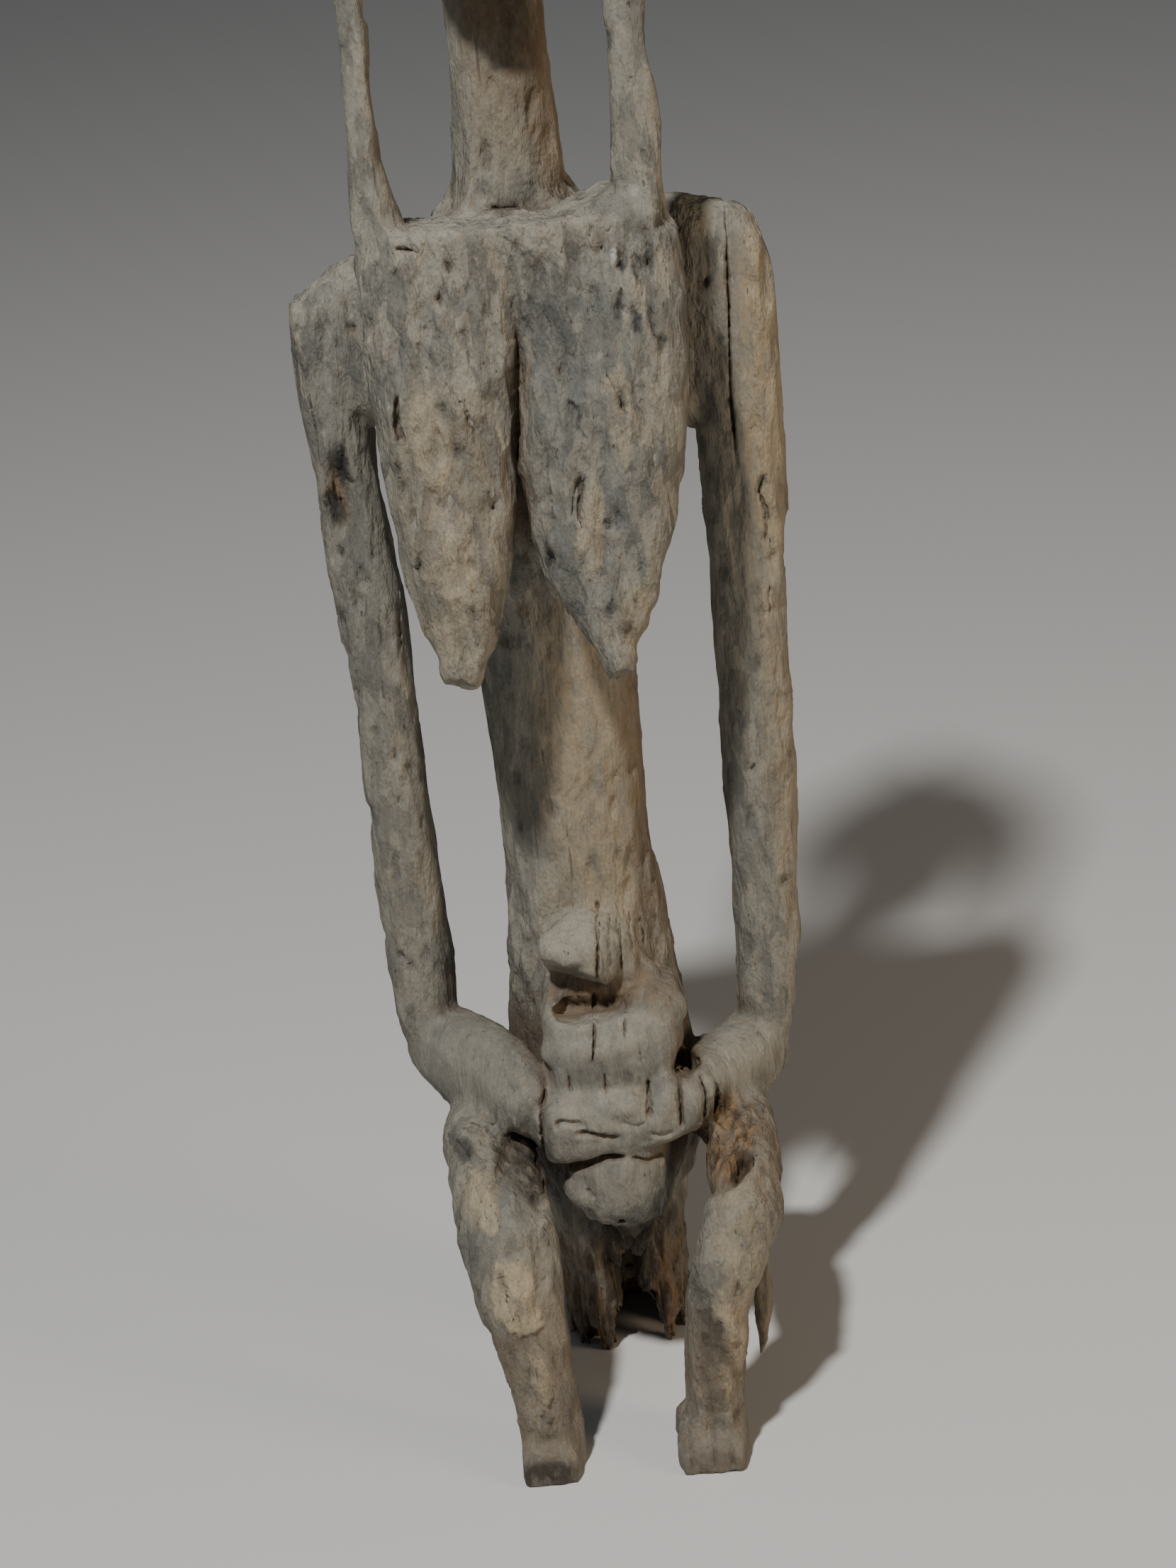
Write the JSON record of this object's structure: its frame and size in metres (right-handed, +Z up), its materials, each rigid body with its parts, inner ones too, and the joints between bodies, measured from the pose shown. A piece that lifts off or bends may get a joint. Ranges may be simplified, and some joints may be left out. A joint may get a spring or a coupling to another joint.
{
  "type": "seated mother and child figure",
  "caption": "Tall seated mother holding a child before her belly, carved from one log: straight arms, long tresses, worn legs and a rotted drum stool.",
  "frame": {"origin": "centre of the bounding box on the ground, at the height of the soles and the stool's foot", "axes": "+Z up along the log, the figure faces -Y, +X towards the viewer's right when seen from the front"},
  "size_m": [0.281, 0.2252, 1.1106],
  "materials": {
    "weathered_wood": "dry, unpolished, deeply weathered grey-beige hardwood with open grain"
  },
  "bodies": {
    "root": {"figure": "weathered_wood"}
  },
  "joints": []
}
